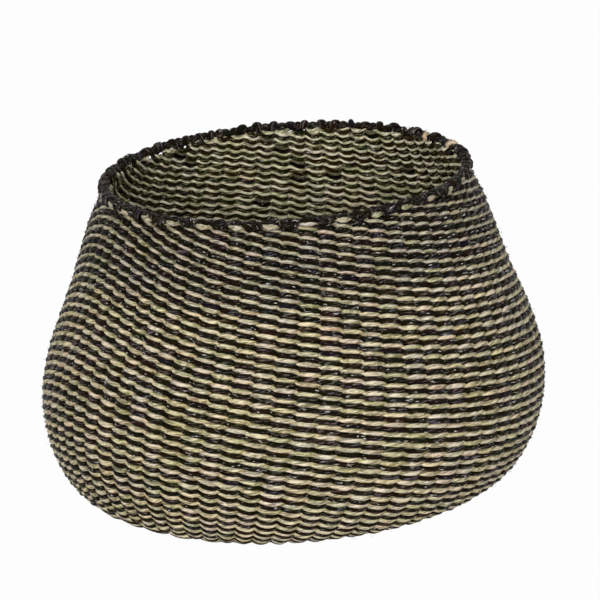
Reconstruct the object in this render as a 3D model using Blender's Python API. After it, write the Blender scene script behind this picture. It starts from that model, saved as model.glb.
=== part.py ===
"""Planter basket, twined from natural and black grass.

A round basket with a flat base, a wide belly and an open mouth. Two rows of weft go round
together from an off-centre start under the base, one natural and one black, so the wall has
fine stripes that climb towards the mouth on one side. Where they reach the rim first, the
last rows run out under a border of folded stakes.

Units are metres, +Z is up, and the basket stands on z = 0 with its belly on the Z axis.
The front of the basket faces -Y.
"""

import math

import bmesh
import bpy
import numpy as np

# Outside of the wall as (radius, height), from the edge of the flat base to the mouth
OUTLINE = [
    (0.124, 0.0000),
    (0.156, 0.0055),
    (0.172, 0.0255),
    (0.1795, 0.0500),
    (0.1805, 0.0760),
    (0.1750, 0.1020),
    (0.1655, 0.1270),
    (0.1563, 0.1500),
    (0.1484, 0.1730),
    (0.1403, 0.1960),
    (0.1310, 0.2160),
]
BASE_RADIUS = OUTLINE[0][0]
BELLY_HEIGHT = 0.070
LEAN = 0.030
WALL_TOP = 0.2080
WALL_THICKNESS = 0.0070

# Weave
STAKES = 68
STAKES_PER_FACET = 4
START_X, START_Y = -0.0417, -0.0385
START_RADIUS = 0.0232
FIRST_ROW = 3.65
PAIR_PITCH_AT_START = 0.00742
PAIR_PITCH_GROWTH = -0.0023
BLACK_PHASE = -0.104
NATURAL_PHASE = BLACK_PHASE + 0.5
OVAL = [(2, -0.0316, -0.0142), (3, 0.0068, 0.0096), (4, -0.0069, -0.0036)]
ROW_GAP = 0.0004
HEEL_GAP = 0.0014
HEEL_ARC = 0.162
HEEL_REACH = 0.070
END_GAP = 0.0003
BLACK_RIDGE = 0.0018
RIDGE_RISE = 0.045

# Lengths that the weft is spliced from, sections in the shortest row that is made, and the
# stakes where the splices lie
WEFT_LENGTHS = 10
SHORTEST_ROW = 6
BLACK_SPLICE_STAKE = 20
NATURAL_SPLICE_STAKE = 12

# Border of stakes folded over one another
BORDER_RADIUS = 0.1288
BORDER_BOTTOM = WALL_TOP + 0.0004
BORDER_TOP = 0.2256
BORDER_HALF_WIDTH = 0.0066
BORDER_FOLD = 0.0014
BORDER_STEPS_PER_FOLD = 2
BORDER_SLANT = 0.6

NATURAL = (0.60, 0.50, 0.29)
BLACK = (0.018, 0.018, 0.022)


def clear_scene():
    for item in list(bpy.data.objects):
        bpy.data.objects.remove(item, do_unlink=True)


def finish(name, colour, roughness):
    material = bpy.data.materials.new(name + "_finish")
    material.use_nodes = True
    shader = material.node_tree.nodes["Principled BSDF"]
    shader.inputs["Base Color"].default_value = (*colour, 1.0)
    shader.inputs["Roughness"].default_value = roughness
    shader.inputs["Metallic"].default_value = 0.0
    return material


def add_object(name, mesh_builder, colour, roughness, collection):
    """Turn a bmesh into a named object with its own finish."""
    bmesh.ops.recalc_face_normals(mesh_builder, faces=mesh_builder.faces)
    mesh = bpy.data.meshes.new(name)
    mesh_builder.to_mesh(mesh)
    mesh_builder.free()
    mesh.materials.append(finish(name, colour, roughness))
    piece = bpy.data.objects.new(name, mesh)
    collection.objects.link(piece)
    return piece


def smooth_step(x):
    x = min(max(x, 0.0), 1.0)
    return x * x * (3.0 - 2.0 * x)


def outline_table():
    """Smooth curve through the outline: arc length from the base's centre, radius and height."""
    knots = np.array(OUTLINE)
    before = knots[0] - (knots[1] - knots[0]) * (1.0, 0.0)
    after = knots[-1] + (knots[-1] - knots[-2]) * 1.5
    line = np.vstack([before, knots, after, 2.0 * after - knots[-1]])
    points = []
    for a, b, c, d in zip(line, line[1:], line[2:], line[3:]):
        for t in np.linspace(0.0, 1.0, 24, endpoint=False):
            points.append(0.5 * (2.0 * b + (c - a) * t + (2.0 * a - 5.0 * b + 4.0 * c - d) * t**2
                                 + (3.0 * b - a - 3.0 * c + d) * t**3))
    points = np.vstack([(0.0, 0.0), points])
    steps = np.hypot(*np.diff(points, axis=0).T)
    arc = np.concatenate([[0.0], np.cumsum(steps)])
    return arc, points[:, 0], points[:, 1]


ARC, RADIUS, HEIGHT = outline_table()
RADIUS_SLOPE = np.gradient(RADIUS, ARC)
HEIGHT_SLOPE = np.gradient(HEIGHT, ARC)
RIM_ARC = float(np.interp(OUTLINE[-1][1], HEIGHT[1:], ARC[1:]))


def centre_x(height):
    """The hand-made basket leans a little, so its mouth sits off the belly's centre."""
    return LEAN * (height - BELLY_HEIGHT)


def wall_point(x, y, depth):
    """Point of the wall for a place (x, y) on the unrolled wall, at a depth from the outside.

    The unrolled wall is a disc: its centre is the centre of the base, and the distance from
    there is the arc length up the wall.
    """
    arc = math.hypot(x, y)
    angle = math.atan2(y, x)
    out, up = np.interp(arc, ARC, HEIGHT_SLOPE), -np.interp(arc, ARC, RADIUS_SLOPE)
    size = math.hypot(out, up)
    radius = np.interp(arc, ARC, RADIUS) - depth * out / size
    height = np.interp(arc, ARC, HEIGHT) - depth * up / size
    return (radius * math.cos(angle) + centre_x(height), radius * math.sin(angle), height)


def stake_direction(stake):
    """Direction of a stake from the start of the weave; the stakes fan out evenly to the rim."""
    turn = 2.0 * math.pi * stake / STAKES
    x = RIM_ARC * math.cos(turn) - START_X
    y = RIM_ARC * math.sin(turn) - START_Y
    offset = math.atan2(y, x) - turn
    return turn + (offset + math.pi) % (2.0 * math.pi) - math.pi


def pair_pitch(rows):
    return PAIR_PITCH_AT_START * math.exp(PAIR_PITCH_GROWTH * rows)


def weave_place(stake, rows_out):
    """Place on the unrolled wall, for a stake and a count of row pairs from the start.

    A row gains one pair of rows in each turn, so it runs on as a spiral. The turns are
    slightly oval, as hand work is.
    """
    direction = stake_direction(stake)
    rows = rows_out + direction / (2.0 * math.pi)
    radius = (pair_pitch(rows) - PAIR_PITCH_AT_START) / PAIR_PITCH_GROWTH
    for order, along, across in OVAL:
        wave = along * math.cos(order * direction) + across * math.sin(order * direction)
        radius /= 1.0 + wave
    return START_X + radius * math.cos(direction), START_Y + radius * math.sin(direction)


def ridge(stake, rows_out):
    """How far black rows stand out over natural ones: nothing under the base, more up the wall."""
    arc = math.hypot(*weave_place(stake, rows_out))
    return BLACK_RIDGE * smooth_step((arc - BASE_RADIUS) / RIDGE_RISE)


def gap_share(stake, rows_out):
    """Gap between neighbouring rows as a share of a pair's pitch, wider where the heel turns."""
    arc = math.hypot(*weave_place(stake, rows_out))
    near_heel = smooth_step(1.0 - abs(arc - HEEL_ARC) / HEEL_REACH)
    rows = rows_out + stake_direction(stake) / (2.0 * math.pi)
    return (ROW_GAP + (HEEL_GAP - ROW_GAP) * near_heel) / pair_pitch(rows)


def black_section(stake):
    """A black row is widest inside and comes to a ridge outside."""
    half = 0.5 - 0.5 * gap_share(stake, BLACK_PHASE)
    corners = [(-half, WALL_THICKNESS), (half, WALL_THICKNESS), (0.0, 0.0)]
    return [wall_point(*weave_place(stake, BLACK_PHASE + side), depth) for side, depth in corners]


def natural_section(stake):
    """A natural row fills the space between two black ones: widest outside, narrow inside."""
    gap = gap_share(stake, NATURAL_PHASE)
    black_half = 0.5 - 0.5 * gap
    face = ridge(stake, NATURAL_PHASE)
    half = 0.5 - gap - black_half * face / WALL_THICKNESS
    inner = WALL_THICKNESS * (0.5 - gap) / black_half
    corners = [(-half, face), (half, face), (0.0, inner)]
    return [wall_point(*weave_place(stake, NATURAL_PHASE + side), depth) for side, depth in corners]


def between(ring, other, distance):
    """The section moved a short distance along the row towards the next section."""
    ring, other = np.array(ring), np.array(other)
    length = np.linalg.norm(other.mean(axis=0) - ring.mean(axis=0))
    return ring + (other - ring) * distance / length


def sweep(rings, deep):
    """Closed solid through the sections, trimmed level at the top of the wall.

    Each side is split from its deep corner here to its shallow corner there, in natural and
    black rows alike, so that facing sides stay parallel and never touch.
    """
    solid = bmesh.new()
    loops = [[solid.verts.new(point) for point in ring] for ring in rings]
    sides = len(loops[0])
    for here, there in zip(loops, loops[1:]):
        for i in range(sides):
            j = (i + 1) % sides
            if deep[i]:
                solid.faces.new((here[i], here[j], there[j]))
                solid.faces.new((here[i], there[j], there[i]))
            else:
                solid.faces.new((here[i], here[j], there[i]))
                solid.faces.new((here[j], there[j], there[i]))
    solid.faces.new(loops[0][::-1])
    solid.faces.new(loops[-1])
    if max(vertex.co.z for vertex in solid.verts) > WALL_TOP:
        everything = solid.verts[:] + solid.edges[:] + solid.faces[:]
        bmesh.ops.bisect_plane(solid, geom=everything, plane_co=(0.0, 0.0, WALL_TOP),
                               plane_no=(0.0, 0.0, 1.0), clear_outer=True)
        rim = [edge for edge in solid.edges if edge.is_boundary]
        bmesh.ops.holes_fill(solid, edges=rim, sides=0)
    return solid


def row_runs(section):
    """Stretches of the spiral below the top of the wall, each a list of (stake, section).

    The first is the long spiral from the start, and the others are the short rows. A run that
    leaves the wall keeps one section beyond the top, so that it can be trimmed level.
    """
    runs, run = [], []
    first = math.ceil(FIRST_ROW * STAKES / STAKES_PER_FACET) * STAKES_PER_FACET
    stake = first
    last_seen = first
    while stake < last_seen + STAKES:
        ring = section(stake)
        inside = min(point[2] for point in ring) < WALL_TOP
        if inside:
            if not run and runs:
                run.append((stake - STAKES_PER_FACET, section(stake - STAKES_PER_FACET)))
            run.append((stake, ring))
            last_seen = stake
        elif run:
            run.append((stake, ring))
            if len(run) >= SHORTEST_ROW:
                runs.append(run)
            run = []
        stake += STAKES_PER_FACET
    return runs


def splice(run, splice_stake):
    """Cut the long spiral into lengths that meet end to end."""
    first, last = run[0][0], run[-1][0]
    cuts = []
    for number in range(1, WEFT_LENGTHS):
        wanted = math.sqrt(first**2 + (last**2 - first**2) * number / WEFT_LENGTHS)
        turn = round((wanted - splice_stake) / STAKES)
        cuts.append(turn * STAKES + splice_stake)
    lengths, length = [], []
    for index, (stake, ring) in enumerate(run):
        length.append(ring)
        if stake in cuts:
            lengths.append(length)
            length = [between(ring, run[index + 1][1], END_GAP)]
    lengths.append(length)
    return lengths


def add_weft(name, section, deep, splice_stake, colour, roughness, collection):
    long_run, *short_runs = row_runs(section)
    for number, rings in enumerate(splice(long_run, splice_stake), 1):
        solid = sweep(rings, deep)
        add_object(f"{name}_weft_{number:02d}", solid, colour, roughness, collection)
    for number, run in enumerate(short_runs, 1):
        solid = sweep([ring for stake, ring in run], deep)
        add_object(f"{name}_short_row_{number:02d}", solid, colour, roughness, collection)


def add_base_start(collection):
    """The knot of crossed stakes that the weave starts from."""
    disc = bmesh.new()
    bmesh.ops.create_cone(disc, cap_ends=True, segments=STAKES // STAKES_PER_FACET,
                          radius1=START_RADIUS, radius2=START_RADIUS - 0.002, depth=WALL_THICKNESS)
    place = (START_X + centre_x(0.0), START_Y, WALL_THICKNESS / 2.0)
    bmesh.ops.translate(disc, verts=disc.verts, vec=place)
    add_object("base_start", disc, NATURAL, 0.75, collection)


def add_border(collection):
    """Ring of folded stakes, each a slanted lobe, with a level underside on the wall's top."""
    section = [(0.0, 1.0), (1.0, 0.45), (0.75, 0.0), (-0.75, 0.0), (-1.0, 0.45)]
    count = STAKES * BORDER_STEPS_PER_FOLD
    height = BORDER_TOP - BORDER_BOTTOM
    ring = bmesh.new()
    loops = []
    for step in range(count):
        wave = math.cos(2.0 * math.pi * step / BORDER_STEPS_PER_FOLD)
        loop = []
        for out, up in section:
            lobe = BORDER_FOLD * (wave - 1.0) * up
            turn = 2.0 * math.pi * (step + BORDER_SLANT * out * up) / count
            radius = BORDER_RADIUS + out * (BORDER_HALF_WIDTH + lobe)
            z = BORDER_BOTTOM + up * (height + lobe)
            x = radius * math.cos(turn) + centre_x(BORDER_BOTTOM)
            loop.append(ring.verts.new((x, radius * math.sin(turn), z)))
        loops.append(loop)
    sides = len(section)
    for here, there in zip(loops, loops[1:] + loops[:1]):
        for i in range(sides):
            j = (i + 1) % sides
            ring.faces.new((here[i], here[j], there[j], there[i]))
    add_object("border", ring, BLACK, 0.55, collection)


def build():
    clear_scene()
    collection = bpy.data.collections.new("planter_basket")
    bpy.context.scene.collection.children.link(collection)
    add_base_start(collection)
    add_weft("natural", natural_section, (False, False, True), NATURAL_SPLICE_STAKE,
             NATURAL, 0.75, collection)
    add_weft("black", black_section, (True, True, False), BLACK_SPLICE_STAKE,
             BLACK, 0.5, collection)
    add_border(collection)


build()
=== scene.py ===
"""Looks of the planter basket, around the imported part.

Every row of the weave is made as it is twined: two strands of grass that cross between each
pair of stakes, one passing outside the stake while the other passes inside. The rows follow
the part's own spiral, so each length of weft stands where its solid stands.

Units are metres, +Z is up, and the front of the basket faces -Y.
"""

import math

import bpy
import numpy as np
from mathutils import Matrix, Vector


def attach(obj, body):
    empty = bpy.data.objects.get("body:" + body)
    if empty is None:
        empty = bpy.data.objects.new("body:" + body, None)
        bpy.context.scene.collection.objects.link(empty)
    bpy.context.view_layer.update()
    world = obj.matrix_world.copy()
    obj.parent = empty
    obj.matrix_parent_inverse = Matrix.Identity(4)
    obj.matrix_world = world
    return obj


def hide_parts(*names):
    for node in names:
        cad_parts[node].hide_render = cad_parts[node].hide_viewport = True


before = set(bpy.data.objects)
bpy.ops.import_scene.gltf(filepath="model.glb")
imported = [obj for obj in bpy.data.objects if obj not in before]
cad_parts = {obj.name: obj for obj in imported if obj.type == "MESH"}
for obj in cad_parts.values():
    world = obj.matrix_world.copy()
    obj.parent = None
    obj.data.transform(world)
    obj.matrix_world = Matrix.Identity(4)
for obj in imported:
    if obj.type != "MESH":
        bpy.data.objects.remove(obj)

# Camera: where it stands, what it looks at, its roll in degrees, and lens and film in millimetres
CAMERA_PLACE = (-0.0023, -1.8979, 0.7390)
CAMERA_AIM = (0.0087, 0.0, 0.1268)
CAMERA_ROLL = -3.94
CAMERA_LENS = 167.9
FILM_WIDTH = 36.0

# Wall and weave, as the part has them
OUTLINE = [
    (0.124, 0.0000),
    (0.156, 0.0055),
    (0.172, 0.0255),
    (0.1795, 0.0500),
    (0.1805, 0.0760),
    (0.1750, 0.1020),
    (0.1655, 0.1270),
    (0.1563, 0.1500),
    (0.1484, 0.1730),
    (0.1403, 0.1960),
    (0.1310, 0.2160),
]
OUTLINE_STEPS = 24
BASE_RADIUS = OUTLINE[0][0]
BELLY_HEIGHT = 0.070
LEAN = 0.030
WALL_TOP = 0.2080
WALL_THICKNESS = 0.0070
STAKES = 68
STAKES_PER_FACET = 4
START_X, START_Y = -0.0417, -0.0385
FIRST_ROW = 3.65
ROW_GAP = 0.0004
BLACK_RIDGE = 0.0018
PAIR_PITCH_AT_START = 0.00742
PAIR_PITCH_GROWTH = -0.0023
BLACK_PHASE = -0.104
NATURAL_PHASE = BLACK_PHASE + 0.5
OVAL = [(2, -0.0316, -0.0142), (3, 0.0068, 0.0096), (4, -0.0069, -0.0036)]
WEFT_LENGTHS = 10
SHORTEST_ROW = 6
BLACK_SPLICE_STAKE = 20
NATURAL_SPLICE_STAKE = 12

# Strands: half a strand's height as a share of the pair pitch, at four heights on the wall, which
# are given as shares of the closing row's height
SHARE_HEIGHTS = (0.12, 0.35, 0.72, 0.84)
NATURAL_SHARE = (0.312, 0.284, 0.272, 0.222)
BLACK_SHARE = (0.262, 0.285, 0.292, 0.330)
HALF_DEPTH = 0.0016
SIDES = 8

# Where a strand has its rings in each stitch, how near its ends it has none of those, how far
# before each end it has one more, and how small it is at its ends and how fast it grows from there
RING_SPOTS = (0.0, 0.16, 0.30, 0.40, 0.50, 0.60, 0.70, 0.84)
END_CLEAR = 0.05
END_STEP = 0.03
END_SIZE = 0.05
END_TAPER = 8.0

# How deep a row's middle lies, and how far its strands swing out and in from there. From a
# little way up the wall, natural rows stand out less than black ones. Inside, stitches sag.
ROW_DEPTH = 0.0038
SWING_OUT = 0.0022
SWING_IN = 0.0020
SWING_POWER = 0.7
NATURAL_RECESS = 0.0004
RECESS_RISE = 0.045
INSIDE_SAG = 0.0005

# Two strands that cross are lower and thinner there, and one lies over the other. Inside and
# above FLIP_HEIGHT they lean the other way, and change over just before they cross.
CROSSING_SQUEEZE = 0.45
CROSSING_THINNING = 0.05
WINDING = 0.50
INSIDE_WINDING = 0.30
WINDING_POWER = 1.3
FLIP_POWER = 40.0
FLIP_HEIGHT = 0.080
FLIP_RISE = 0.030

# Hand work: how uneven the stakes, rows and strands are; a pair is the least and what chance adds
STAKE_WANDER = 0.07
ROW_WANDER = 0.035
ROW_WANDER_STAKES = 5.0
SIZE_CHANCE = (0.84, 0.28)
SWING_CHANCE = (0.88, 0.24)
PLACE_CHANGE = 0.40

# Rows reach past their ends by this many stakes, and near the start of the weave a stitch takes
# in several stakes: (first stake, stakes in a stitch)
ROW_REACH = 0.35
STITCH_ZONES = [(0, 4), (10 * STAKES, 2), (15 * STAKES, 1)]
LAST_STAKE = 8000
MOST_TURNS = 90

# Start of the weave: first rows round it, and the stakes laid crosswise in its middle
START_TURNS = 1.15
START_SHARE = (0.29, 0.29, 0.29, 0.29)
LANES = (-0.0060, -0.0020, 0.0020, 0.0060)
LANE_REACH = 0.0115
LANE_RINGS = 19
LANE_STEP = 0.0040
LANE_SWING = 0.0014
LANE_RADIUS = 0.0018
LANE_END_RADIUS = 0.0004
LANE_SEED = 200
LANE_KEY_STEP = 7

# Border: a closing row of one natural and one black strand with a black round on it, under the
# folded stakes. A fold's widths and thicknesses go with the shares of its length. Its sizes,
# lumps, leans in stakes and heights of its feet are each a value and what chance adds to it.
CLOSING_HEIGHT = 0.2203
CLOSING_RADIUS = 0.1276
CLOSING_HALF_HEIGHT = 0.0026
CLOSING_NARROWING = 0.42
CLOSING_LEAN = -0.8
BLACK_ROUND_RISE = 0.0020
BLACK_ROUND_SHIFT = -0.0005
ROW_END_HEIGHT = CLOSING_HEIGHT + 0.0004
FOLD_HALF_WIDTH = 0.0038
FOLD_HALF_THICKNESS = 0.0012
FOLD_HEIGHT = 0.0040
FOLD_HEIGHT_CHANGE = 0.0014
FOLD_HEIGHT_DROP = 0.0024
FOLD_SIZES = (0.58, 0.46)
FOLD_SIDE_CHANGE = 0.15
FOLD_LUMPS = (0.85, 0.3)
FOLD_LEANS = (0.10, 0.30)
FOLD_SHIFT_CHANGE = 0.30
FOLD_FEET = (0.0008, -0.0030)
FOLD_DROP_POWER = 1.5
FOLD_WIDTHS = ([0.0, 0.12, 0.30, 0.50, 0.70, 0.88, 1.0], [0.4, 0.55, 0.75, 1.00, 1.25, 1.1, 0.3])
FOLD_THICKNESSES = ([0.0, 0.12, 0.5, 0.88, 1.0], [0.4, 1.0, 1.5, 1.1, 0.3])
FOLD_STEPS = 4
FOLD_SIDES = 10
NATURAL_FOLDS = (3, 6)
NATURAL_FOLD_SIZE = 0.0028
NATURAL_FOLD_TONE = 0.95

# Stakes: the rows between which they are made, their rings, and their radii at some of them
STAKE_ROWS = (3.2, 72.0)
STAKE_RINGS = 90
STAKE_RADII = ([0.0, 8.0, 20.0], [0.0004, 0.0009, 0.0012])
STAKE_SIDES = 5
STAKES_RISE = 0.004

# Stray fibres: length in stakes, radius, slope, how far they stand off, and how far from the
# middle of a black row they start. A length is the least, what chance adds, and a power of it.
# They curl sideways and rise in an arch from a root in the wall.
STRAY_FIBRES = 2200
STRAY_STAKES = (1300.0, 3300.0)
STRAY_HEIGHTS = (0.002, WALL_TOP + 0.008)
BROKEN_SHARE = 0.55
BROKEN_FIBRE = {"length": (0.06, 0.12, 1), "size": (0.00016, 0.00016), "slope": 1.2,
                "lift": 0.0006, "spread": 0.26}
LOOSE_FIBRE = {"length": (0.12, 0.40, 2), "size": (0.00006, 0.00008), "slope": 2.2,
               "lift": 0.0020, "spread": 0.5}
STRAY_TAPER = np.array([0.8, 1.0, 1.1, 1.0, 0.9, 0.7, 0.3])
STRAY_SIDES = 4
STRAY_CURL = 0.25
STRAY_SIDE_CURL = 0.3
STRAY_WAVES = (0.6, 1.0)
STRAY_ARCH = 0.8
STRAY_LEAST_LIFT = 0.0003
STRAY_LYING = 0.0001
STRAY_ROOT = 0.0012

# Fibres at the rim: how far out and up they start and reach from there, and their radius
RIM_FIBRES = 320
RIM_START = (0.0045, 0.008)
RIM_START_INSIDE = 0.001
RIM_REACH = np.array([0.7, 0.005, 0.004])
RIM_BOW = (0.0, 0.0008, 0.0)
RIM_SIZE = (0.00008, 0.00016)

# Finish: streaks run along a strand and turn with it, and each piece of grass has its own. Thin
# fibres and flecks come from the same noise, made finer or coarser and moved; their light colours
# are partly pale fibres and partly painted glints
FIBRE_LENGTH = 0.015
FIBRE_TURN = 1.9
FIBRE_TWIST = 40.0
STRAND_OFFSET = 3.1
TUBE_OFFSET = 0.37
STREAKS_ALONG = 110.0
STREAKS_ACROSS = 700.0
THIN_FIBRES = ((1.3, 1.4, 1.4), (7.0, 23.0, 9.0))
FLECKS = ((2.4, 0.8, 0.8), (11.0, 5.0, 3.0))
STREAK_EDGES = (0.43, 0.61)
FIBRE_SOFTNESS = 0.07
FLECK_SOFTNESS = 0.06
ROUGHNESS_CHANGE = 0.12
RIDGE_STRENGTH = 0.8
STITCH_TONES = [
    (0.00, (0.66, 0.64, 0.48)),
    (0.18, (0.76, 0.74, 0.55)),
    (0.36, (0.83, 0.79, 0.62)),
    (0.56, (0.88, 0.83, 0.69)),
    (0.74, (0.92, 0.87, 0.76)),
    (0.90, (0.90, 0.79, 0.66)),
    (1.00, (0.84, 0.68, 0.50)),
]
BLACK_TONES = [
    (0.00, (0.08, 0.10, 0.02)),
    (0.25, (0.13, 0.09, 0.01)),
    (0.45, (0.07, 0.06, 0.00)),
    (0.62, (0.15, 0.08, 0.02)),
    (0.78, (0.08, 0.06, 0.05)),
    (0.90, (0.13, 0.08, 0.12)),
    (1.00, (0.04, 0.11, 0.10)),
]
STRAY_TONES = [(0.0, (0.40, 0.39, 0.38)), (1.0, (0.92, 0.90, 0.86))]

# A tone is a stitch's own part and a part that changes slowly over so many stitches; a strand's
# tone is lower on top of its section, painted shade for the shadow of the row above it
OWN_TONE = 0.60
SLOW_TONE = 0.40
SLOW_TONE_STITCHES = 7.0
TOP_PAINTED_SHADE = 0.14
MOST_TONE = 0.94

# Tints: inside the basket, partly the inner faces' own greyer hue and partly painted light that
# brightens them; on the border's black strands; outside near the top; at a stitch's right end,
# painted shade where it dives under the next stitch; and on the few dark stitches inside
NATURAL_INSIDE_HUE_AND_LIGHT = np.array([1.13, 1.20, 1.22])
BLACK_INSIDE_HUE_AND_LIGHT = np.array([2.0, 2.3, 1.4])
BORDER_TINT = np.array([0.8, 0.8, 0.8])
NEAR_TOP_TINT = np.array([0.73, 0.745, 0.79])
NEAR_TOP_START = 0.74
NEAR_TOP_RISE = 0.10
STITCH_END_PAINTED_SHADE = np.array([0.80, 0.77, 0.64])
STITCH_END_SHADE_POWER = 5
DARK_TINT = np.array([0.20, 0.20, 0.17])
DARK_STITCHES = 0.03
DARK_ABOVE = 0.5
NATURAL_HUE_CHANGE = 0.20
BLACK_HUE_CHANGE = 0.8
INSIDE_HUE_SHARE = 0.4

# Kinds of chance, one for each thing that varies, the seeds of the strands, and the steps that
# keep the keys of one seed, strand, place or kind off those of the next
STAKE_PLACE, ROW_PLACE, STRAND_SWING, STRAND_SIZE, STRAND_PLACE, STITCH_TONE, SOFT_TONE = range(3, 10)
FOLD_LEAN, FOLD_TOP, FOLD_SIZE, FOLD_TONE, STAKE_TONE = range(21, 26)
FOLD_SHIFT, FOLD_FOOT, FOLD_WIDTH = range(27, 30)
LANE_TONE = 32
STITCH_RED, STITCH_BLUE, STITCH_DARK = range(41, 44)
ROW_SEED = 11
TOP_ROW_SEED = 13
START_SEEDS = (17, 19)
CLOSING_SEEDS = (71, 72)
ROUND_SEED = 73
SEED_STEP = 97
STRAND_STEP = 53
PLACE_STEP = 37
KIND_STEP = 1009

# Lamps by name, place and power in watts, and floor and backdrop
LAMPS = [
    ("key_lamp", (-0.6, -1.95, 1.0), 25.0),
    ("fill_lamp", (0.9, -1.85, 0.9), 10.5),
]
LAMP_AIM = (0.0, 0.0, 0.1)
LAMP_SIZE = 0.9
FLOOR_REACH = 6.0
FLOOR_WHITE = 0.975
SKY_STRENGTH = 0.30

rng = np.random.default_rng(7)
CHANCES = rng.random(8192)


def chance(key, kind):
    """A number from 0 to 1 for each whole-number key, the same in every run."""
    return CHANCES[(np.asarray(key, int) * PLACE_STEP + kind * KIND_STEP) % len(CHANCES)]


def smooth_chance(place, kind):
    """The same, running smoothly from one whole number to the next."""
    low = np.floor(place)
    share = place - low
    share = share * share * (3.0 - 2.0 * share)
    return chance(low, kind) * (1.0 - share) + chance(low + 1, kind) * share


# The wall


def curve_points(line, steps):
    """Points of a smooth curve through a line's points, without its first and last one."""
    points = []
    for a, b, c, d in zip(line, line[1:], line[2:], line[3:]):
        for t in np.linspace(0.0, 1.0, steps, endpoint=False):
            points.append(0.5 * (2.0 * b + (c - a) * t + (2.0 * a - 5.0 * b + 4.0 * c - d) * t**2
                                 + (3.0 * b - a - 3.0 * c + d) * t**3))
    return points


def outline_table():
    """Smooth curve through the outline: arc length from the base's centre, radius and height."""
    knots = np.array(OUTLINE)
    before = knots[0] - (knots[1] - knots[0]) * (1.0, 0.0)
    after = knots[-1] + (knots[-1] - knots[-2]) * 1.5
    line = np.vstack([before, knots, after, 2.0 * after - knots[-1]])
    points = np.vstack([(0.0, 0.0), curve_points(line, OUTLINE_STEPS)])
    steps = np.hypot(*np.diff(points, axis=0).T)
    arc = np.concatenate([[0.0], np.cumsum(steps)])
    return arc, points[:, 0], points[:, 1]


ARC, RADIUS, HEIGHT = outline_table()
RADIUS_SLOPE = np.gradient(RADIUS, ARC)
HEIGHT_SLOPE = np.gradient(HEIGHT, ARC)
RIM_ARC = float(np.interp(OUTLINE[-1][1], HEIGHT[1:], ARC[1:]))


def centre_x(height):
    """Middle of the basket at a height; it leans a little to +X above the belly and to -X below it."""
    return LEAN * (height - BELLY_HEIGHT)


def wall_points(x, y, depth):
    """Points of the wall for places on the unrolled wall, at a depth from the outside."""
    arc = np.hypot(x, y)
    angle = np.arctan2(y, x)
    out = np.interp(arc, ARC, HEIGHT_SLOPE)
    up = -np.interp(arc, ARC, RADIUS_SLOPE)
    size = np.hypot(out, up)
    radius = np.interp(arc, ARC, RADIUS) - depth * out / size
    height = np.interp(arc, ARC, HEIGHT) - depth * up / size
    return np.stack([radius * np.cos(angle) + centre_x(height), radius * np.sin(angle), height], axis=-1)


def stake_direction(stake):
    """Direction of a stake from the start of the weave; the stakes fan out evenly to the rim."""
    turn = 2.0 * np.pi * stake / STAKES
    x = RIM_ARC * np.cos(turn) - START_X
    y = RIM_ARC * np.sin(turn) - START_Y
    offset = np.arctan2(y, x) - turn
    return turn + (offset + np.pi) % (2.0 * np.pi) - np.pi


def pair_pitch(rows):
    """Height of one natural and one black row together, at a count of row pairs from the start."""
    return PAIR_PITCH_AT_START * np.exp(PAIR_PITCH_GROWTH * rows)


def weave_place(stake, rows_out):
    """Place on the unrolled wall, for a stake and a count of row pairs from the start."""
    direction = stake_direction(stake)
    rows = rows_out + direction / (2.0 * np.pi)
    radius = (pair_pitch(rows) - PAIR_PITCH_AT_START) / PAIR_PITCH_GROWTH
    for order, along, across in OVAL:
        wave = along * np.cos(order * direction) + across * np.sin(order * direction)
        radius = radius / (1.0 + wave)
    return START_X + radius * np.cos(direction), START_Y + radius * np.sin(direction)


def wandered(stake):
    """Hand-set stakes are never quite evenly spaced."""
    around = stake % STAKES
    low = np.floor(around)
    share = around - low
    here = chance(low % STAKES, STAKE_PLACE)
    here = here * (1.0 - share) + chance((low + 1) % STAKES, STAKE_PLACE) * share
    return stake + STAKE_WANDER * (2.0 * here - 1.0)


def row_points(stake, phase, across, outward, recess):
    """Points of a row: across is the way over the row up the wall, outward from the wall's middle."""
    rows = phase + stake / STAKES
    wander = ROW_WANDER * (2.0 * smooth_chance(stake / ROW_WANDER_STAKES, ROW_PLACE) - 1.0)
    x, y = weave_place(wandered(stake), phase + wander + across / pair_pitch(rows))
    rise = np.clip((np.hypot(x, y) - BASE_RADIUS) / RECESS_RISE, 0.0, 1.0)
    outward = outward - recess * rise * np.clip(outward / SWING_OUT, 0.0, 1.0)
    points = wall_points(x, y, ROW_DEPTH - outward)
    points[..., 2] = np.maximum(points[..., 2], 0.0)
    return points


def rim_points(stake, up, outward):
    """Points of the border, level round the mouth."""
    turn = 2.0 * np.pi * wandered(stake) / STAKES
    radius = CLOSING_RADIUS + outward
    return np.stack([radius * np.cos(turn) + centre_x(CLOSING_HEIGHT), radius * np.sin(turn),
                     CLOSING_HEIGHT + up + 0.0 * turn], axis=-1)


# Strands


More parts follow.
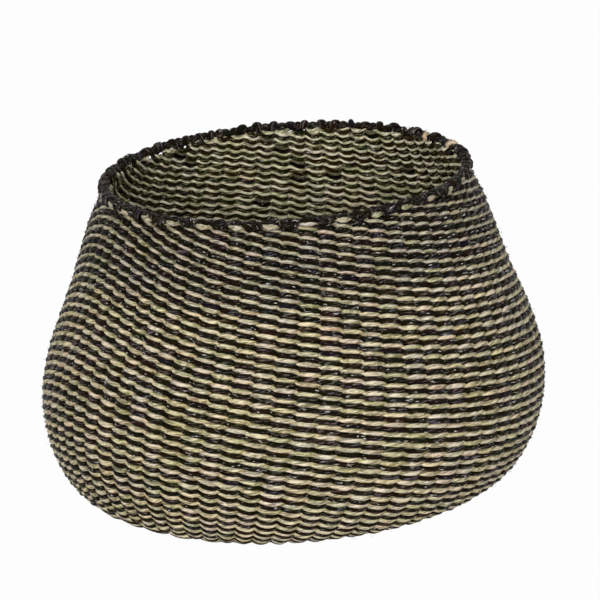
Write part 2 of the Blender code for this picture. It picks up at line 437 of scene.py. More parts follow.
class Bundle:
    """Strands gathered into one mesh, with what the grass finish needs at each point."""

    def __init__(self):
        self.points = []
        self.quads = []
        self.fibre = []
        self.tone = []
        self.tint = []
        self.count = 0

    def add(self, rings, fibre, tone, tint=(1.0, 1.0, 1.0)):
        """rings is an array of (ring, side, xyz); fibre, tone and tint go with it."""
        number, sides = rings.shape[:2]
        here = self.count + np.arange((number - 1) * sides).reshape(number - 1, sides)
        beside = np.roll(here, -1, axis=1)
        self.quads.append(np.stack([here, beside, beside + sides, here + sides], axis=-1).reshape(-1, 4))
        self.points.append(rings.reshape(-1, 3))
        self.fibre.append(fibre.reshape(-1, 3))
        self.tone.append(np.broadcast_to(tone, (number, sides)).ravel())
        self.tint.append(np.broadcast_to(tint, (number, sides, 3)).reshape(-1, 3))
        self.count += number * sides

    def make(self, name, material, slot):
        """The piece: one object of all the strands, on the root body, with its finish; the slot argument
        is not used.
        """
        points = np.concatenate(self.points).astype(np.float32)
        quads = np.concatenate(self.quads).astype(np.int32)
        mesh = bpy.data.meshes.new(name)
        mesh.vertices.add(len(points))
        mesh.vertices.foreach_set("co", points.ravel())
        mesh.loops.add(quads.size)
        mesh.loops.foreach_set("vertex_index", quads.ravel())
        mesh.polygons.add(len(quads))
        mesh.polygons.foreach_set("loop_start", np.arange(0, quads.size, 4, dtype=np.int32))
        mesh.update(calc_edges=True)
        for key, values in (("fibre", self.fibre), ("tint", self.tint)):
            layer = mesh.attributes.new(key, "FLOAT_VECTOR", "POINT")
            layer.data.foreach_set("vector", np.concatenate(values).astype(np.float32).ravel())
        layer = mesh.attributes.new("tone", "FLOAT", "POINT")
        layer.data.foreach_set("value", np.concatenate(self.tone).astype(np.float32))
        mesh.validate()
        mesh.shade_smooth()
        mesh.materials.append(material)
        piece = bpy.data.objects.new(name, mesh)
        bpy.context.scene.collection.objects.link(piece)
        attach(piece, "root")
        return piece


def beats(stake):
    """Stitches counted along a row: near the start one stitch takes in several stakes."""
    count = 0.0
    for index, (first, size) in enumerate(STITCH_ZONES):
        last = STITCH_ZONES[index + 1][0] if index + 1 < len(STITCH_ZONES) else np.inf
        count = count + np.clip(stake - first, 0.0, last - first) / size
    return count


def stake_at(beat):
    """The stake at a count of stitches."""
    knots = [first for first, size in STITCH_ZONES] + [LAST_STAKE]
    return np.interp(beat, [beats(float(knot)) for knot in knots], knots)


def lengths_along(path):
    """Length from a path's start to each of its points."""
    return np.concatenate([[0.0], np.cumsum(np.linalg.norm(np.diff(path, axis=0), axis=1))])


def fibre_places(along, half_width, half_depth, around):
    """Where the points of a bundle lie in its own grass: along it, and over its section."""
    over = half_width[:, None] * np.cos(around)
    through = half_depth[:, None] * np.sin(around)
    return np.stack([np.broadcast_to(along[:, None], over.shape), over, through], axis=-1)


def ring_beats(first, last):
    """Where a strand between two stakes has its rings, in stitches."""
    low, high = beats(float(first)), beats(float(last))
    spots = (np.arange(math.floor(low), math.ceil(high) + 1)[:, None] + np.array(RING_SPOTS)).ravel()
    spots = spots[(spots > low + END_CLEAR) & (spots < high - END_CLEAR)]
    return np.concatenate([[low, low + END_STEP], spots, [high - END_STEP, high]])


def strand_winding(turn, flip):
    """How far up a strand's middle lies as it winds round the other; it leans back where flip is 1."""
    crossing = 1.0 - np.abs(np.cos(turn))
    rise = np.abs(np.sin(turn))
    leaning_back = (WINDING + INSIDE_WINDING) * rise**FLIP_POWER - INSIDE_WINDING
    leaning_back = leaning_back * rise**WINDING_POWER
    inside = WINDING * crossing + flip * (leaning_back - WINDING * crossing)
    return np.sign(np.sin(turn)) * np.where(np.cos(turn) > 0.0, WINDING * crossing, inside)


def strand_tint(rings, turn, around, stitch, inside_tint):
    """Tint of each point of a strand: by where it is, with the inside's own hue and painted light,
    painted shade at a stitch's right end, and each stitch's own change of hue.
    """
    near_top = np.clip((rings[:, :, 2] / CLOSING_HEIGHT - NEAR_TOP_START) / NEAR_TOP_RISE, 0.0, 1.0)
    outside = np.clip(0.5 + 2.0 * np.sin(around), 0.0, 1.0)[None, :, None]
    # Painted shade: a stitch darkens towards its right end, where it dives under the next stitch at the
    # crossing
    end_shade = STITCH_END_PAINTED_SHADE ** (np.clip(np.sin(turn), 0.0, 1.0) ** STITCH_END_SHADE_POWER)[:, None, None]
    # Faces inside the basket take the inside tint: partly their own greyer hue, partly painted light
    # that brightens them
    tint = inside_tint + outside * (NEAR_TOP_TINT ** near_top[:, :, None] * end_shade - inside_tint)
    dark = (np.cos(turn) < 0.0) & (rings[:, 0, 2] > DARK_ABOVE * CLOSING_HEIGHT)
    dark = dark & (chance(stitch, STITCH_DARK) < DARK_STITCHES)
    tint = np.where(dark[:, None, None], DARK_TINT, tint)
    redder, bluer = chance(stitch, STITCH_RED) - 0.5, chance(stitch, STITCH_BLUE) - 0.5
    change = np.stack([0.5 * redder, np.zeros_like(redder), bluer], axis=-1)[:, None, :]
    hue_change = NATURAL_HUE_CHANGE if inside_tint is NATURAL_INSIDE_HUE_AND_LIGHT else BLACK_HUE_CHANGE
    return tint * (1.0 + hue_change * change * (INSIDE_HUE_SHARE + (1.0 - INSIDE_HUE_SHARE) * outside))


def add_strand(bundle, place, first, last, side, half_height, lean, inside_tint, seed):
    """One strand of a twined row between two stakes; side 0 passes outside the even stakes."""
    beat = ring_beats(first, last)
    stake = stake_at(beat)
    turn = np.pi * (beat - side)
    key = seed * SEED_STEP + side * STRAND_STEP
    stitch = np.round(beat) + key

    crossing = 1.0 - np.abs(np.cos(turn))
    ends = np.minimum(beat - beat[0], beat[-1] - beat)
    taper = np.clip(END_SIZE + ends * END_TAPER, 0.0, 1.0) ** 0.5
    size = SIZE_CHANCE[0] + SIZE_CHANCE[1] * smooth_chance(beat + key, STRAND_SIZE)
    size = size * half_height(stake)
    height = size * (1.0 - CROSSING_SQUEEZE * crossing) * taper
    depth = HALF_DEPTH * (1.0 - CROSSING_THINNING * crossing) * taper

    swing = np.cos(turn)
    swing = np.where(swing > 0.0, SWING_OUT * np.abs(swing) ** SWING_POWER, SWING_IN * swing)
    swing = swing * (SWING_CHANCE[0] + SWING_CHANCE[1] * smooth_chance(beat + key, STRAND_SWING))
    level = place(stake, 0.0 * stake, 0.0 * stake)[:, 2]
    flip = np.clip((level - FLIP_HEIGHT) / FLIP_RISE, 0.0, 1.0)
    middle = lean * size * strand_winding(turn, flip)
    middle = middle + PLACE_CHANGE * size * (smooth_chance(beat + key, STRAND_PLACE) - 0.5)
    middle = middle - INSIDE_SAG * np.clip(-np.cos(turn), 0.0, 1.0)

    around = 2.0 * np.pi * np.arange(SIDES) / SIDES
    across = middle[:, None] + height[:, None] * np.cos(around)
    outward = swing[:, None] + depth[:, None] * np.sin(around)
    rings = place(stake[:, None] + 0.0 * across, across, outward)
    fibre = fibre_places(FIBRE_LENGTH * beat + STRAND_OFFSET * key, height, height,
                         around + FIBRE_TURN * beat[:, None])
    tone = OWN_TONE * chance(stitch, STITCH_TONE)
    tone = tone + SLOW_TONE * smooth_chance(beat / SLOW_TONE_STITCHES + key, SOFT_TONE)
    # Painted shade: the top of each strand's section takes a lower, darker tone, as if shadowed by the
    # row above
    tone = np.clip(tone[:, None] - TOP_PAINTED_SHADE * np.cos(around), 0.0, MOST_TONE)
    bundle.add(rings, fibre, tone, strand_tint(rings, turn, around, stitch, inside_tint))


def add_row(bundle, phase, first, last, share, recess, inside_tint, seed):
    """A twined row between two stakes of the spiral."""
    def place(stake, across, outward):
        return row_points(stake, phase, across, outward, recess)

    def half_height(stake):
        rise = np.interp(np.hypot(*weave_place(stake, phase)), ARC, HEIGHT) / CLOSING_HEIGHT
        return np.interp(rise, SHARE_HEIGHTS, share) * pair_pitch(phase + stake / STAKES)

    for side in (0, 1):
        add_strand(bundle, place, first - ROW_REACH, last + ROW_REACH, side, half_height, 1.0,
                   inside_tint, seed)


# Stretches of the spiral, as the part cuts them


def black_corners(gap):
    """Lowest corner of a black solid's section: way over the row, and depth."""
    return [(0.5 * gap - 0.5, WALL_THICKNESS)]


def natural_corners(gap):
    """The two corners of a natural solid's section of which either may be the lowest."""
    half = 0.5 - gap - (0.5 - 0.5 * gap) * BLACK_RIDGE / WALL_THICKNESS
    return [(-half, BLACK_RIDGE), (0.0, WALL_THICKNESS * (0.5 - gap) / (0.5 - 0.5 * gap))]


def first_stake():
    """Stake at which the first lengths of the spiral start."""
    return math.ceil(FIRST_ROW * STAKES / STAKES_PER_FACET) * STAKES_PER_FACET


def row_runs(phase, corners):
    """First and last stake of the long spiral, and then of each short row."""
    runs = []
    run = []
    stake = last_seen = first_stake()
    while stake < last_seen + STAKES:
        gap = ROW_GAP / pair_pitch(phase + stake_direction(stake) / (2.0 * np.pi))
        height = min(wall_points(*weave_place(stake, phase + side), depth)[2]
                     for side, depth in corners(gap))
        if height < WALL_TOP:
            if not run:
                run = [stake - STAKES_PER_FACET if runs else stake]
            last_seen = stake
        elif run:
            if (stake - run[0]) / STAKES_PER_FACET + 1 >= SHORTEST_ROW:
                runs.append((run[0], stake))
            run = []
        stake += STAKES_PER_FACET
    return runs


def spliced(first, last, splice_stake):
    """The long spiral cut into lengths that meet end to end."""
    cuts = [first]
    for number in range(1, WEFT_LENGTHS):
        wanted = math.sqrt(first**2 + (last**2 - first**2) * number / WEFT_LENGTHS)
        cuts.append(round((wanted - splice_stake) / STAKES) * STAKES + splice_stake)
    return list(zip(cuts, cuts[1:] + [last]))


def row_stretches(phase, first):
    """Stretches of the spiral that stand below the closing row: first and last stake of each."""
    stakes = np.arange(first, first + MOST_TURNS * STAKES)
    height = wall_points(*weave_place(stakes, phase), 0.5 * WALL_THICKNESS)[:, 2]
    below = np.concatenate([[False], height < ROW_END_HEIGHT, [False]])
    edges = np.flatnonzero(np.diff(below.astype(int)))
    return [(stakes[begin], stakes[end - 1]) for begin, end in zip(edges[::2], edges[1::2])]


def make_rows(colour, phase, corners, splice_stake, share, recess, inside_tint, material, slot):
    """Strands of one colour; a row goes on past its solid until it runs out at the border."""
    (first, last), *short = row_runs(phase, corners)
    lengths = [(f"{colour}_weft_{number:02d}", *ends)
               for number, ends in enumerate(spliced(first, last, splice_stake), 1)]
    lengths += [(f"{colour}_short_row_{number:02d}", *ends) for number, ends in enumerate(short, 1)]
    top_rows = Bundle()
    for begin, end in row_stretches(phase, first):
        own = [length for length in lengths if length[1] < end and length[2] > begin]
        if not own:
            add_row(top_rows, phase, begin, end, share, recess, inside_tint, TOP_ROW_SEED)
        starts = [begin] + [length[1] for length in own[1:]]
        for (node, _, _), start, stop in zip(own, starts, starts[1:] + [end]):
            bundle = Bundle()
            add_row(bundle, phase, start, stop, share, recess, inside_tint, ROW_SEED)
            piece = bundle.make(f"{node}_strands", material, slot)
            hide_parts(node)
    if top_rows.count:
        top_rows.make(f"{colour}_top_rows", material, slot)


# Border, stakes, start of the weave and stray fibres


def add_tube(bundle, path, radii, sides, tone, seed):
    """A round fibre or stake along a path."""
    path = np.asarray(path, float)
    ahead = np.gradient(path, axis=0)
    ahead /= np.linalg.norm(ahead, axis=1)[:, None]
    across = np.cross(ahead[0], (0.31, 0.17, 0.93))
    across /= np.linalg.norm(across)
    frames = []
    for direction in ahead:
        across = across - direction * across.dot(direction)
        across /= np.linalg.norm(across)
        frames.append((across, np.cross(direction, across)))
    frames = np.array(frames)
    around = 2.0 * np.pi * np.arange(sides) / sides
    radii = np.asarray(radii, float)
    size = radii[:, None, None]
    rings = (path[:, None, :] + size * np.cos(around)[None, :, None] * frames[:, None, 0]
             + size * np.sin(around)[None, :, None] * frames[:, None, 1])
    length = lengths_along(path)
    fibre = fibre_places(length + TUBE_OFFSET * seed, radii, radii,
                         around + FIBRE_TWIST * length[:, None])
    bundle.add(rings, fibre, np.full((len(path), 1), tone))


def smooth_path(knots, steps):
    """Smooth curve through the knots."""
    knots = np.asarray(knots, float)
    line = np.vstack([2.0 * knots[0] - knots[1], knots, 2.0 * knots[-1] - knots[-2]])
    return np.array(curve_points(line, steps) + [knots[-1]])


def add_fold(bundle, stake, knots, size, tone):
    """A stake folded over the closing row: a flat bundle of grass, widest where it comes down inside."""
    path = smooth_path(knots, FOLD_STEPS)
    points = rim_points(stake + path[:, 0], path[:, 2], path[:, 1])
    turn = 2.0 * np.pi * stake / STAKES
    level = np.array([-math.sin(turn), math.cos(turn), 0.0])
    ahead = np.gradient(points, axis=0)
    ahead -= ahead.dot(level)[:, None] * level
    ahead /= np.linalg.norm(ahead, axis=1)[:, None]
    normal = np.cross(level, ahead)
    share = np.linspace(0.0, 1.0, len(points))
    width = size * np.interp(share, *FOLD_WIDTHS)
    lumps = chance(stake + 100 * np.arange(len(points)), FOLD_WIDTH)
    width = width * (FOLD_LUMPS[0] + FOLD_LUMPS[1] * lumps)
    thickness = FOLD_HALF_THICKNESS * np.interp(share, *FOLD_THICKNESSES)
    around = 2.0 * np.pi * np.arange(FOLD_SIDES) / FOLD_SIDES
    rings = (points[:, None, :] + (width[:, None] * np.cos(around))[:, :, None] * level
             + (thickness[:, None] * np.sin(around))[:, :, None] * normal[:, None, :])
    fibre = fibre_places(lengths_along(points) + TUBE_OFFSET * stake, width, thickness, around)
    bundle.add(rings, fibre, np.full((len(points), 1), tone))


def fold_size(stake):
    """Half the width of a fold; those nearest the photo's right are the narrowest."""
    side = math.cos(2.0 * math.pi * stake / STAKES)
    size = FOLD_HALF_WIDTH * (FOLD_SIZES[0] + FOLD_SIZES[1] * chance(stake, FOLD_SIZE))
    return size * (1.0 - FOLD_SIDE_CHANGE * side)


def fold_knots(stake):
    """Path of a fold from outside over the top to inside: stakes along the rim, outward and up."""
    far = math.sin(2.0 * math.pi * stake / STAKES)
    drop = FOLD_HEIGHT_DROP * chance(stake, FOLD_TOP) ** FOLD_DROP_POWER
    top = FOLD_HEIGHT + FOLD_HEIGHT_CHANGE * far - drop
    way = 1.0 if stake % 2 == 0 else -1.0
    lean = way * (FOLD_LEANS[0] + FOLD_LEANS[1] * chance(stake, FOLD_LEAN))
    shift = 0.5 + FOLD_SHIFT_CHANGE * (chance(stake, FOLD_SHIFT) - 0.5)
    foot = FOLD_FEET[0] + FOLD_FEET[1] * chance(stake, FOLD_FOOT)
    return [
        (shift + lean, 0.0018, foot - 0.0016),
        (shift + 0.9 * lean, 0.0029, foot + 0.0002),
        (shift + 0.4 * lean, 0.0027, 0.62 * top),
        (shift, 0.0002, top),
        (shift - 0.12 * way, -0.0023, 0.66 * top),
        (shift - 0.18 * way, -0.0028, 0.0008),
        (shift - 0.20 * way, -0.0020, -0.0010),
    ]


def make_border(black, natural):
    """Closing row with a black round on it, and the stakes folded over them.

    Each stake arches over the place where the closing row's two strands cross: it starts beside
    the outer black stitch and ends beside the inner black stitch.
    """
    def half_height(stake):
        return CLOSING_HALF_HEIGHT * (1.0 - CLOSING_NARROWING * np.sin(np.pi * stake) ** 2)

    def upper_points(stake, up, outward):
        return rim_points(stake, up + BLACK_ROUND_RISE, outward + BLACK_ROUND_SHIFT)

    black_bundle, natural_bundle = Bundle(), Bundle()
    first = float(STITCH_ZONES[-1][0])
    last = first + STAKES
    strands = [
        (natural_bundle, rim_points, 0, NATURAL_INSIDE_HUE_AND_LIGHT, CLOSING_SEEDS[0]),
        (black_bundle, rim_points, 1, BORDER_TINT, CLOSING_SEEDS[1]),
        (black_bundle, upper_points, 0, BORDER_TINT, ROUND_SEED),
        (black_bundle, upper_points, 1, BORDER_TINT, ROUND_SEED),
    ]
    for bundle, place, side, tint, seed in strands:
        add_strand(bundle, place, first, last, side, half_height, CLOSING_LEAN, tint, seed)
    for stake in range(STAKES):
        if stake in NATURAL_FOLDS:
            add_fold(natural_bundle, stake, fold_knots(stake), NATURAL_FOLD_SIZE, NATURAL_FOLD_TONE)
        else:
            add_fold(black_bundle, stake, fold_knots(stake), fold_size(stake), chance(stake, FOLD_TONE))
    folds = black_bundle.make("folded_border", black, "black_grass")
    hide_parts("border")
    natural_bundle.make("closing_row", natural, "natural_grass")


def make_stakes(black):
    """Stakes inside the wall, up to the border."""
    bundle = Bundle()
    rows = np.linspace(*STAKE_ROWS, STAKE_RINGS)
    for stake in range(STAKES):
        place = wandered(np.full(rows.shape, float(stake)))
        x, y = weave_place(place, rows - place / STAKES)
        points = wall_points(x, y, 0.5 * WALL_THICKNESS)
        points = points[points[:, 2] < WALL_TOP + STAKES_RISE]
        radii = np.interp(np.arange(len(points)), *STAKE_RADII)
        add_tube(bundle, points, radii, STAKE_SIDES, chance(stake, STAKE_TONE), stake)
    bundle.make("stakes", black, "black_grass")


def make_start(natural):
    """Start of the weave: stakes laid crosswise, and natural rows round them to the first lengths."""
    bundle = Bundle()
    centre = np.array([START_X + centre_x(0.0), START_Y])
    for phase, seed in zip((BLACK_PHASE, NATURAL_PHASE), START_SEEDS):
        add_row(bundle, phase, START_TURNS * STAKES, first_stake(), START_SHARE, 0.0,
                NATURAL_INSIDE_HUE_AND_LIGHT, seed)
    run = np.linspace(-LANE_REACH, LANE_REACH, LANE_RINGS)
    radii = np.full(len(run), LANE_RADIUS)
    radii[[0, -1]] = LANE_END_RADIUS
    for way in (0, 1):
        for index, lane in enumerate(LANES):
            over = np.cos(np.pi * (run / LANE_STEP + 0.5 + index + way))
            level = 0.5 * WALL_THICKNESS + LANE_SWING * over
            beside = np.full_like(run, lane)
            flat = (run, beside) if way == 0 else (beside, run)
            points = np.stack([centre[0] + flat[0], centre[1] + flat[1], level], axis=-1)
            number = index + LANE_KEY_STEP * way
            add_tube(bundle, points, radii, SIDES, chance(number, LANE_TONE), LANE_SEED + number)
    piece = bundle.make("base_start_knot", natural, "natural_grass")
    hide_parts("base_start")


def between(least, change, power=1):
    """A number from least to least + change; the higher the power, the more often it is near least."""
    return least + change * rng.random() ** power


def make_stray_fibres(material):
    """Broken ends and loose fibres of grass that stand off the rows, most of them off the black ones."""
    bundle = Bundle()
    steps = np.linspace(0.0, 1.0, len(STRAY_TAPER))
    for number in range(STRAY_FIBRES):
        stake = between(*STRAY_STAKES)
        kind = BROKEN_FIBRE if rng.random() < BROKEN_SHARE else LOOSE_FIBRE
        length = between(*kind["length"])
        size = between(*kind["size"])
        slope = kind["slope"] * (rng.random() - 0.5)
        curl = between(0.0, STRAY_CURL)
        lift = between(STRAY_LEAST_LIFT, kind["lift"], 2)
        phase = BLACK_PHASE + kind["spread"] * (rng.random() - 0.5)
        wave = np.sin(2.0 * np.pi * (steps * between(*STRAY_WAVES) + rng.random()))
        stakes = stake + length * steps + STRAY_SIDE_CURL * curl * length * wave
        rows = phase + slope * length * steps + curl * length * wave
        depth = STRAY_LYING - lift * np.sin(STRAY_ARCH * np.pi * steps)
        depth[0] = STRAY_ROOT
        points = wall_points(*weave_place(stakes, rows), depth)
        if points[:, 2].min() < STRAY_HEIGHTS[0] or points[:, 2].max() > STRAY_HEIGHTS[1]:
            continue
        add_tube(bundle, points, size * STRAY_TAPER, STRAY_SIDES, rng.random(), number)
    for number in range(RIM_FIBRES):
        stake = STAKES * rng.random()
        begin = np.array([stake, RIM_START[0] * rng.random() - RIM_START_INSIDE,
                          RIM_START[1] * (rng.random() - 0.5)])
        reach = RIM_REACH * (rng.random(3) - 0.5)
        line = begin + steps[:, None] * reach + np.sin(np.pi * steps)[:, None] * RIM_BOW
        points = rim_points(line[:, 0], line[:, 1], line[:, 2])
        radii = between(*RIM_SIZE) * STRAY_TAPER
        add_tube(bundle, points, radii, STRAY_SIDES, rng.random(), number)
    bundle.make("stray_fibres", material, "natural_grass")


# Finishes


def screen_colour(red, green, blue):
    """A colour as it looks on a screen, turned into the amounts of light that Blender takes."""
    def light(value):
        return value / 12.92 if value <= 0.04045 else ((value + 0.055) / 1.055) ** 2.4
    return light(red), light(green), light(blue), 1.0


def put(links, value, socket):
    """Give a socket what it takes: a link from another socket, or a plain value."""
    if isinstance(value, bpy.types.NodeSocket):
        links.new(value, socket)
    else:
        socket.default_value = value


def worked_out(nodes, links, operation, first, second):
    """A math node's result."""
    node = nodes.new("ShaderNodeMath")
    node.operation = operation
    put(links, first, node.inputs[0])
    put(links, second, node.inputs[1])
    return node.outputs["Value"]


def ranged(nodes, links, value, low, high, to_low=0.0, to_high=1.0):
    """A value mapped from one range to another."""
    node = nodes.new("ShaderNodeMapRange")
    pairs = {"Value": value, "From Min": low, "From Max": high, "To Min": to_low, "To Max": to_high}
    for name, given in pairs.items():
        put(links, given, node.inputs[name])
    return node.outputs["Result"]


def noise(nodes, links, place, detail, roughness=0.5):
    """A noise texture's value at a place."""
    node = nodes.new("ShaderNodeTexNoise")
    node.inputs["Scale"].default_value = 1.0
    node.inputs["Detail"].default_value = detail
    node.inputs["Roughness"].default_value = roughness
    links.new(place, node.inputs["Vector"])
    return node.outputs["Fac"]


def resized(nodes, links, place, size, shift):
    """A place with its parts multiplied and then moved."""
    node = nodes.new("ShaderNodeVectorMath")
    node.operation = "MULTIPLY_ADD"
    put(links, place, node.inputs[0])
    put(links, size, node.inputs[1])
    put(links, shift, node.inputs[2])
    return node.outputs["Vector"]


def grass_streaks():
    """Node group: lengthwise streaks, thin light fibres, and sparse flecks of broken ones, whose light
    colours also serve as painted glints.
    """
    group = bpy.data.node_groups.new("grass_streaks", "ShaderNodeTree")
    for name, value in (("Along", STREAKS_ALONG), ("Across", STREAKS_ACROSS),
                        ("Fibre Edge", 0.52), ("Fleck Edge", 0.66)):
        socket = group.interface.new_socket(name, in_out="INPUT", socket_type="NodeSocketFloat")
        socket.default_value = value
    for name in ("Streak", "Fibre", "Fleck"):
        group.interface.new_socket(name, in_out="OUTPUT", socket_type="NodeSocketFloat")
    nodes, links = group.nodes, group.links
    given = nodes.new("NodeGroupInput").outputs
    result = nodes.new("NodeGroupOutput").inputs
    fibre = nodes.new("ShaderNodeAttribute")
    fibre.attribute_name = "fibre"
    size = nodes.new("ShaderNodeCombineXYZ")
    for name, axis in (("Along", "X"), ("Across", "Y"), ("Across", "Z")):
        links.new(given[name], size.inputs[axis])
    place = resized(nodes, links, fibre.outputs["Vector"], size.outputs["Vector"], (0.0, 0.0, 0.0))

    coarse = noise(nodes, links, place, detail=3.0, roughness=0.65)
    links.new(ranged(nodes, links, coarse, *STREAK_EDGES), result["Streak"])
    beside = resized(nodes, links, place, *THIN_FIBRES)
    thin = noise(nodes, links, beside, detail=1.0)
    thin_end = worked_out(nodes, links, "ADD", given["Fibre Edge"], FIBRE_SOFTNESS)
    links.new(ranged(nodes, links, thin, given["Fibre Edge"], thin_end), result["Fibre"])
    shorter = resized(nodes, links, place, *FLECKS)
    fleck = noise(nodes, links, shorter, detail=2.0)
    fleck_end = worked_out(nodes, links, "ADD", given["Fleck Edge"], FLECK_SOFTNESS)
    links.new(ranged(nodes, links, fleck, given["Fleck Edge"], fleck_end), result["Fleck"])
    return group


def fill_ramp(ramp, stops):
    """Give a colour ramp its stops: position and colour as on a screen."""
    elements = ramp.color_ramp.elements
    while len(elements) < len(stops):
        elements.new(0.5)
    for element, (position, colour) in zip(elements, stops):
        element.position = position
        element.color = screen_colour(*colour)


def mixed(nodes, links, kind, factor, first, second):
    """A colour mix node; factor, first and second are sockets or plain values."""
    mix = nodes.new("ShaderNodeMix")
    mix.data_type = "RGBA"
    mix.blend_type = kind
    for name, value in (("Factor_Float", factor), ("A_Color", first), ("B_Color", second)):
        put(links, value, next(s for s in mix.inputs if s.identifier == name))
    return next(s for s in mix.outputs if s.identifier == "Result_Color")


def grass(name, group, tones, streak_colour, streak_share, fibre_and_glint_colour, fibre_share, fibre_edge,
          fleck_and_glint_colour, fleck_edge, roughness, gloss, bump):
    """Twisted grass: each stitch has its own tone and tint, with lengthwise streaks and fibres, whose
    light colours are partly painted glints.
    """
    material = bpy.data.materials.new(name)
    material.use_nodes = True
    nodes, links = material.node_tree.nodes, material.node_tree.links
    shader = nodes["Principled BSDF"]
    streaks = nodes.new("ShaderNodeGroup")
    streaks.node_tree = group
    streaks.inputs["Fibre Edge"].default_value = fibre_edge
    streaks.inputs["Fleck Edge"].default_value = fleck_edge
    streak, fibre, fleck = (streaks.outputs[name] for name in ("Streak", "Fibre", "Fleck"))
    tone = nodes.new("ShaderNodeAttribute")
    tone.attribute_name = "tone"
    tint = nodes.new("ShaderNodeAttribute")
    tint.attribute_name = "tint"
    ramp = nodes.new("ShaderNodeValToRGB")
    fill_ramp(ramp, tones)
    links.new(tone.outputs["Fac"], ramp.inputs["Fac"])

    share = worked_out(nodes, links, "MULTIPLY", streak, streak_share)
    colour = mixed(nodes, links, "MIX", share, ramp.outputs["Color"], streak_colour)
    share = worked_out(nodes, links, "MULTIPLY", fibre, fibre_share)
    colour = mixed(nodes, links, "MIX", share, colour, fibre_and_glint_colour)
    colour = mixed(nodes, links, "MULTIPLY", 1.0, colour, tint.outputs["Vector"])
    colour = mixed(nodes, links, "MIX", fleck, colour, fleck_and_glint_colour)
    links.new(colour, shader.inputs["Base Color"])
    rough = ranged(nodes, links, streak, 0.0, 1.0, roughness - ROUGHNESS_CHANGE,
                   roughness + ROUGHNESS_CHANGE)
    links.new(rough, shader.inputs["Roughness"])
    ridges = nodes.new("ShaderNodeBump")
    ridges.inputs["Strength"].default_value = RIDGE_STRENGTH
    ridges.inputs["Distance"].default_value = bump
    links.new(streak, ridges.inputs["Height"])
    links.new(ridges.outputs["Normal"], shader.inputs["Normal"])
    shader.inputs["Specular IOR Level"].default_value = gloss
    return material


# Stage


def make_camera():
    """The photo's camera, turned a little about its own line of sight."""
    camera = bpy.data.cameras.new("camera")
    camera.lens = CAMERA_LENS
    camera.sensor_width = FILM_WIDTH
    camera.sensor_fit = "HORIZONTAL"
    camera.clip_end = 50.0
    ahead = (Vector(CAMERA_AIM) - Vector(CAMERA_PLACE)).normalized()
    level = ahead.cross(Vector((0.0, 0.0, 1.0))).normalized()
    above = level.cross(ahead)
    roll = math.radians(CAMERA_ROLL)
    right = level * math.cos(roll) + above * math.sin(roll)
    up = above * math.cos(roll) - level * math.sin(roll)
    holder = bpy.data.objects.new("camera", camera)
    turn = Matrix((right, up, -ahead)).transposed().to_4x4()
    holder.matrix_world = Matrix.Translation(CAMERA_PLACE) @ turn
    bpy.context.scene.collection.objects.link(holder)
    bpy.context.scene.camera = holder


def seen_directly(nodes, links):
    """1 for what the camera sees directly, in gloss or through glass."""
    path = nodes.new("ShaderNodeLightPath")
    total = path.outputs["Is Camera Ray"]
    for name in ("Is Glossy Ray", "Is Transmission Ray"):
        total = worked_out(nodes, links, "MAXIMUM", total, path.outputs[name])
    return total


def mixed_shader(nodes, links, share, first, second):
    """A mix of two shaders."""
    mix = nodes.new("ShaderNodeMixShader")
    links.new(share, mix.inputs["Fac"])
    links.new(first, mix.inputs[1])
    links.new(second, mix.inputs[2])
    return mix.outputs["Shader"]


def make_floor():
    """Floor that looks white but keeps a little of the shadow."""
    reach = FLOOR_REACH
    mesh = bpy.data.meshes.new("floor")
    mesh.from_pydata([(-reach, -reach, 0.0), (reach, -reach, 0.0), (reach, reach, 0.0),
                      (-reach, reach, 0.0)], [], [(0, 1, 2, 3)])
    material = bpy.data.materials.new("white_floor")
    material.use_nodes = True
    nodes, links = material.node_tree.nodes, material.node_tree.links
    shader = nodes["Principled BSDF"]
    shader.inputs["Base Color"].default_value = (0.80, 0.80, 0.80, 1.0)
    shader.inputs["Roughness"].default_value = 0.9
    shader.inputs["Specular IOR Level"].default_value = 0.1
    glow = nodes.new("ShaderNodeEmission")
    glow.inputs["Color"].default_value = (1.0, 1.0, 1.0, 1.0)
    glow.inputs["Strength"].default_value = 1.0
    share = worked_out(nodes, links, "MULTIPLY", seen_directly(nodes, links), FLOOR_WHITE)
    look = mixed_shader(nodes, links, share, shader.outputs["BSDF"], glow.outputs["Emission"])
    links.new(look, nodes["Material Output"].inputs["Surface"])
    mesh.materials.append(material)
    floor = bpy.data.objects.new("floor", mesh)
    bpy.context.scene.collection.objects.link(floor)


def make_world():
    """Soft light from all round, in front of a white backdrop."""
    world = bpy.data.worlds.new("studio")
    world.use_nodes = True
    bpy.context.scene.world = world
    nodes, links = world.node_tree.nodes, world.node_tree.links
    lighting = nodes["Background"]
    lighting.inputs["Color"].default_value = (1.0, 1.0, 1.0, 1.0)
    lighting.inputs["Strength"].default_value = SKY_STRENGTH
    backdrop = nodes.new("ShaderNodeBackground")
    backdrop.inputs["Color"].default_value = (1.0, 1.0, 1.0, 1.0)
    backdrop.inputs["Strength"].default_value = 1.0
    look = mixed_shader(nodes, links, seen_directly(nodes, links), lighting.outputs["Background"],
                        backdrop.outputs["Background"])
    links.new(look, nodes["World Output"].inputs["Surface"])


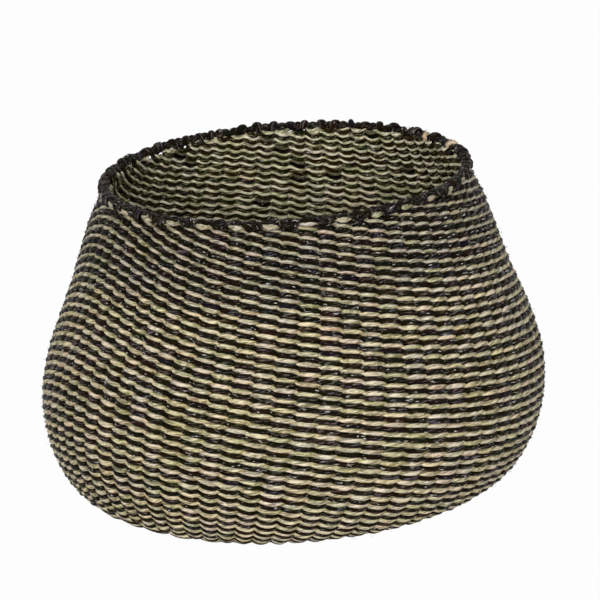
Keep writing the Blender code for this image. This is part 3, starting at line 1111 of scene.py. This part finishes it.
def add_lamp(name, place, power):
    """Square lamp that shines at the basket."""
    lamp = bpy.data.lights.new(name, "AREA")
    lamp.energy = power
    lamp.size = LAMP_SIZE
    holder = bpy.data.objects.new(name, lamp)
    turn = (Vector(LAMP_AIM) - Vector(place)).to_track_quat("-Z", "Y")
    holder.matrix_world = Matrix.Translation(place) @ turn.to_matrix().to_4x4()
    bpy.context.scene.collection.objects.link(holder)


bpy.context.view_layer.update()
make_camera()
make_world()
make_floor()
for lamp_name, lamp_place, lamp_power in LAMPS:
    add_lamp(lamp_name, lamp_place, lamp_power)

streaks = grass_streaks()
natural_grass = grass(
    "natural_grass", streaks, STITCH_TONES,
    streak_colour=screen_colour(0.34, 0.31, 0.12), streak_share=0.78,
    fibre_and_glint_colour=screen_colour(0.99, 0.92, 0.80), fibre_share=0.85, fibre_edge=0.52,
    fleck_and_glint_colour=screen_colour(0.99, 0.95, 0.88), fleck_edge=0.68,
    roughness=0.60, gloss=0.3, bump=0.0005)
# Black grass: its light fibres and flecks are partly pale fibres and partly painted glints, in place of
# real gloss, which is kept low
black_grass = grass(
    "black_grass", streaks, BLACK_TONES,
    streak_colour=screen_colour(0.01, 0.01, 0.0), streak_share=0.7,
    fibre_and_glint_colour=screen_colour(0.48, 0.44, 0.42), fibre_share=0.75, fibre_edge=0.59,
    fleck_and_glint_colour=screen_colour(0.78, 0.76, 0.75), fleck_edge=0.68,
    roughness=0.40, gloss=0.05, bump=0.0007)
stray_grass = grass(
    "stray_grass", streaks, STRAY_TONES,
    streak_colour=screen_colour(0.5, 0.47, 0.4), streak_share=0.2,
    fibre_and_glint_colour=screen_colour(0.9, 0.9, 0.8), fibre_share=0.3, fibre_edge=0.52,
    fleck_and_glint_colour=screen_colour(0.9, 0.9, 0.8), fleck_edge=0.8,
    roughness=0.5, gloss=0.3, bump=0.0001)

make_rows("natural", NATURAL_PHASE, natural_corners, NATURAL_SPLICE_STAKE, NATURAL_SHARE,
          NATURAL_RECESS, NATURAL_INSIDE_HUE_AND_LIGHT, natural_grass, "natural_grass")
make_rows("black", BLACK_PHASE, black_corners, BLACK_SPLICE_STAKE, BLACK_SHARE,
          0.0, BLACK_INSIDE_HUE_AND_LIGHT, black_grass, "black_grass")
make_border(black_grass, natural_grass)
make_stakes(black_grass)
make_start(natural_grass)
make_stray_fibres(stray_grass)

bpy.context.scene.view_settings.view_transform = "Standard"
